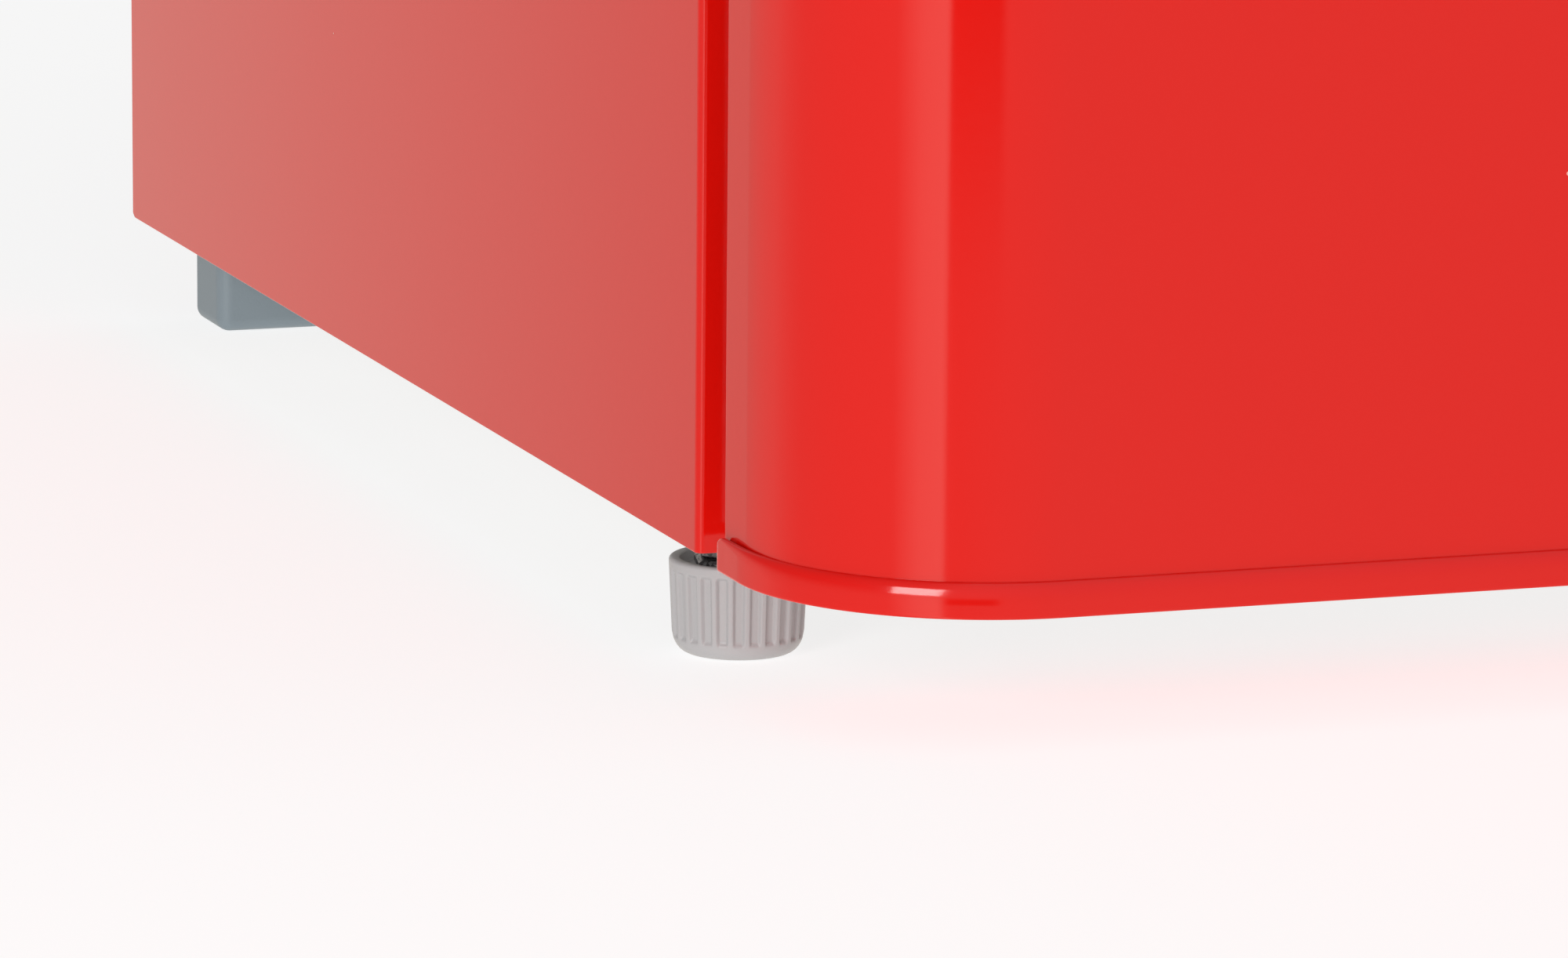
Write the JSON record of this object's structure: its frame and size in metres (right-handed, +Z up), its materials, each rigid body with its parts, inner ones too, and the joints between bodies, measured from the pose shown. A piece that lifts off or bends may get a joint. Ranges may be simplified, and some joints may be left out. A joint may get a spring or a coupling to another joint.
{
  "type": "refrigerator",
  "caption": "Free-standing rounded retro refrigerator: glossy enamelled cabinet and door with lipped end caps, fluted levelling feet, ice box, shelves, drawer and rear condenser.",
  "frame": {"origin": "on the floor under the centre of the bounding box", "axes": "+Z up, the door faces -Y, +X is the hinge side, at the right as seen from the front"},
  "size_m": [0.554, 0.6305, 0.895],
  "materials": {
    "red_enamel": "high gloss red enamel on steel",
    "red_plastic": "high gloss red lacquered moulding",
    "zinc": "galvanised sheet",
    "bright_zinc": "bright zinc plated steel",
    "foot_plastic": "warm grey moulded plastic, satin",
    "rear_foot_plastic": "blue-grey moulded plastic",
    "liner_plastic": "white vacuum-formed plastic",
    "grey_plastic": "pale grey moulded plastic",
    "clear_plastic": "clear moulded plastic",
    "shelf_glass": "toughened glass with ground edges",
    "seal_rubber": "soft pale seal",
    "black_rubber": "black rubber",
    "foam": "rigid insulating foam",
    "chrome": "polished chrome",
    "aluminium": "satin aluminium sheet",
    "black_steel": "black semi-gloss paint",
    "black_plastic": "black moulded plastic",
    "copper": "drawn copper"
  },
  "bodies": {
    "cabinet": {"side_panel_left": "red_enamel", "side_panel_right": "red_enamel", "worktop": "red_plastic", "front_rails": "zinc", "base_pan": "zinc", "back_panel": "zinc", "top_plate": "zinc", "lower_hinge_bracket": "zinc", "upper_hinge_bracket": "zinc", "foot_bracket": "zinc", "compressor_tray": "zinc", "hinge_pins": "bright_zinc", "hex_screws": "bright_zinc", "lock_nuts": "bright_zinc", "rear_feet": "rear_foot_plastic", "inner_liner": "liner_plastic", "icebox_frame": "liner_plastic", "control_housing": "liner_plastic", "icebox_hangers": "liner_plastic", "shelf_trims": "grey_plastic", "light_switch": "grey_plastic", "drain_tube": "grey_plastic", "lamp": "grey_plastic", "lamp_cover": "clear_plastic", "crisper_cover_glass": "shelf_glass", "middle_shelf_glass": "shelf_glass", "upper_shelf_glass": "shelf_glass", "compressor_grommets": "black_rubber", "cord_gland": "black_rubber", "cabinet_foam": "foam", "icebox_body": "aluminium", "icebox_channels": "aluminium", "compressor": "black_steel", "condenser": "black_steel", "start_relay": "black_plastic", "drip_tray": "black_plastic", "filter_drier": "copper"},
    "door": {"door_skin": "red_enamel", "door_bottom_cap": "red_plastic", "door_top_cap": "red_plastic", "hinge_bushes": "grey_plastic", "door_liner": "liner_plastic", "door_foam": "foam", "door_gasket": "seal_rubber", "handle_bar": "chrome", "handle_posts": "chrome", "handle_screws": "bright_zinc", "bottle_rack": "clear_plastic", "middle_rack": "clear_plastic", "dairy_rack": "clear_plastic"},
    "dairy_lid": {"dairy_lid": "clear_plastic"},
    "bottle_stop": {"bottle_stop": "grey_plastic"},
    "crisper_drawer": {"crisper_drawer": "clear_plastic"},
    "icebox_flap": {"icebox_flap": "liner_plastic"},
    "thermostat_knob": {"thermostat_knob": "liner_plastic"},
    "light_switch_button": {"light_switch_button": "grey_plastic"},
    "right_stud": {"foot_stud_right": "bright_zinc"},
    "right_foot": {"foot_cap_right": "foot_plastic"},
    "left_stud": {"foot_stud_left": "bright_zinc"},
    "left_foot": {"foot_cap_left": "foot_plastic"}
  },
  "joints": [
    {"name": "door_hinge", "type": "hinge", "parent": "cabinet", "child": "door", "pos_m": [0.258, -0.22575, 0.029], "axis": [0, 0, 1], "range_deg": [0, 115]},
    {"name": "dairy_lid_hinge", "type": "hinge", "parent": "door", "child": "dairy_lid", "pos_m": [0, -0.18975, 0.571], "axis": [1, 0, 0], "range_deg": [0, 85]},
    {"name": "bottle_stop_slide", "type": "slide", "parent": "door", "child": "bottle_stop", "axis": [1, 0, 0], "range_m": [-0.15, 0.15]},
    {"name": "crisper_slide", "type": "slide", "parent": "cabinet", "child": "crisper_drawer", "axis": [0, -1, 0], "range_m": [0, 0.035]},
    {"name": "icebox_flap_hinge", "type": "hinge", "parent": "cabinet", "child": "icebox_flap", "pos_m": [0, -0.06675, 0.809], "axis": [-1, 0, 0], "range_deg": [0, 80]},
    {"name": "thermostat_turn", "type": "hinge", "parent": "cabinet", "child": "thermostat_knob", "pos_m": [0.199, -0.03925, 0.62417], "axis": [-1, 0, 0], "range_deg": [0, 270]},
    {"name": "light_switch_press", "type": "slide", "parent": "cabinet", "child": "light_switch_button", "axis": [0, 1, 0], "range_m": [0, 0.003], "stiffness_N_per_m": 200},
    {"name": "right_foot_extend", "type": "slide", "parent": "cabinet", "child": "right_stud", "axis": [0, 0, -1], "range_m": [0, 0.012]},
    {"name": "right_foot_turn", "type": "hinge", "parent": "right_stud", "child": "right_foot", "pos_m": [0.255, -0.15305, 0], "axis": [0, 0, -1], "range_deg": [0, 3450]},
    {"name": "left_foot_extend", "type": "slide", "parent": "cabinet", "child": "left_stud", "axis": [0, 0, -1], "range_m": [0, 0.012]},
    {"name": "left_foot_turn", "type": "hinge", "parent": "left_stud", "child": "left_foot", "pos_m": [-0.255, -0.15305, 0], "axis": [0, 0, -1], "range_deg": [0, 3450]}
  ],
  "couplings": [
    {"joint": "right_foot_extend", "follows": "right_foot_turn", "m_per_rad": 0.00019894},
    {"joint": "left_foot_extend", "follows": "left_foot_turn", "m_per_rad": 0.00019894}
  ]
}
